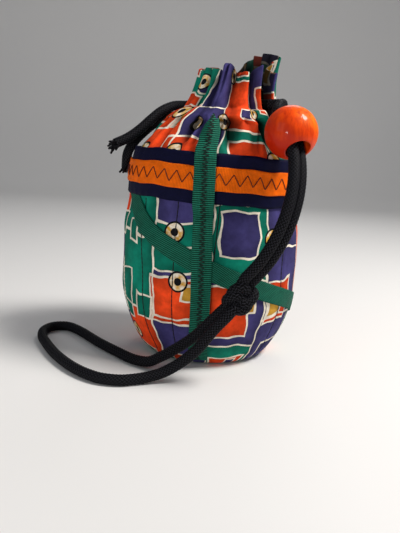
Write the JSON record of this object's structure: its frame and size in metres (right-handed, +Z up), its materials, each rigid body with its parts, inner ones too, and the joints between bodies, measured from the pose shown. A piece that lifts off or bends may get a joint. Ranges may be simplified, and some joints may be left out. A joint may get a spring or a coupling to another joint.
{
  "type": "drawstring pouch",
  "caption": "Round printed-cotton drawstring pouch with a gathered neck, banded body, ribbon trims, a sliding wooden bead, a knotted double cord and a wrist loop.",
  "frame": {"origin": "middle of the base's flat underside, on the surface that the pouch stands on", "axes": "+Z up along the body; -Y is the front that the picture shows; +X is right, the side of the bead"},
  "size_m": [0.1616, 0.1314, 0.1812],
  "materials": {
    "printed_cotton": "matt printed cotton in teal, orange, violet and gold fields with pale outlines",
    "lining_cotton": "plain matt cotton",
    "navy_tape": "ribbed matt tape",
    "orange_ribbon": "ribbed ribbon with a zigzag stitch",
    "green_ribbon": "ribbed ribbon",
    "black_cord": "braided cord with a slight sheen",
    "stained_wood": "stained and lacquered wood"
  },
  "bodies": {
    "root": {"front_panel": "printed_cotton", "back_panel": "printed_cotton", "base_panel": "printed_cotton", "lining": "lining_cotton", "navy_band": "navy_tape", "orange_ribbon": "orange_ribbon", "front_ribbon": "green_ribbon", "diagonal_ribbon": "green_ribbon", "casing_cord_front": "black_cord", "casing_cord_back": "black_cord", "strand_front": "black_cord", "strand_back": "black_cord", "tail_upper": "black_cord", "tail_lower": "black_cord", "wrist_loop": "black_cord", "cord_knot": "black_cord"},
    "bead": {"bead": "stained_wood"}
  },
  "joints": [
    {"name": "bead_slide", "type": "hinge", "parent": "root", "child": "bead", "pos_m": [-0.0049, -0.02447, 0.09593], "axis": [0.6848, 0.6488, -0.3318], "range_deg": [0, 64]}
  ]
}
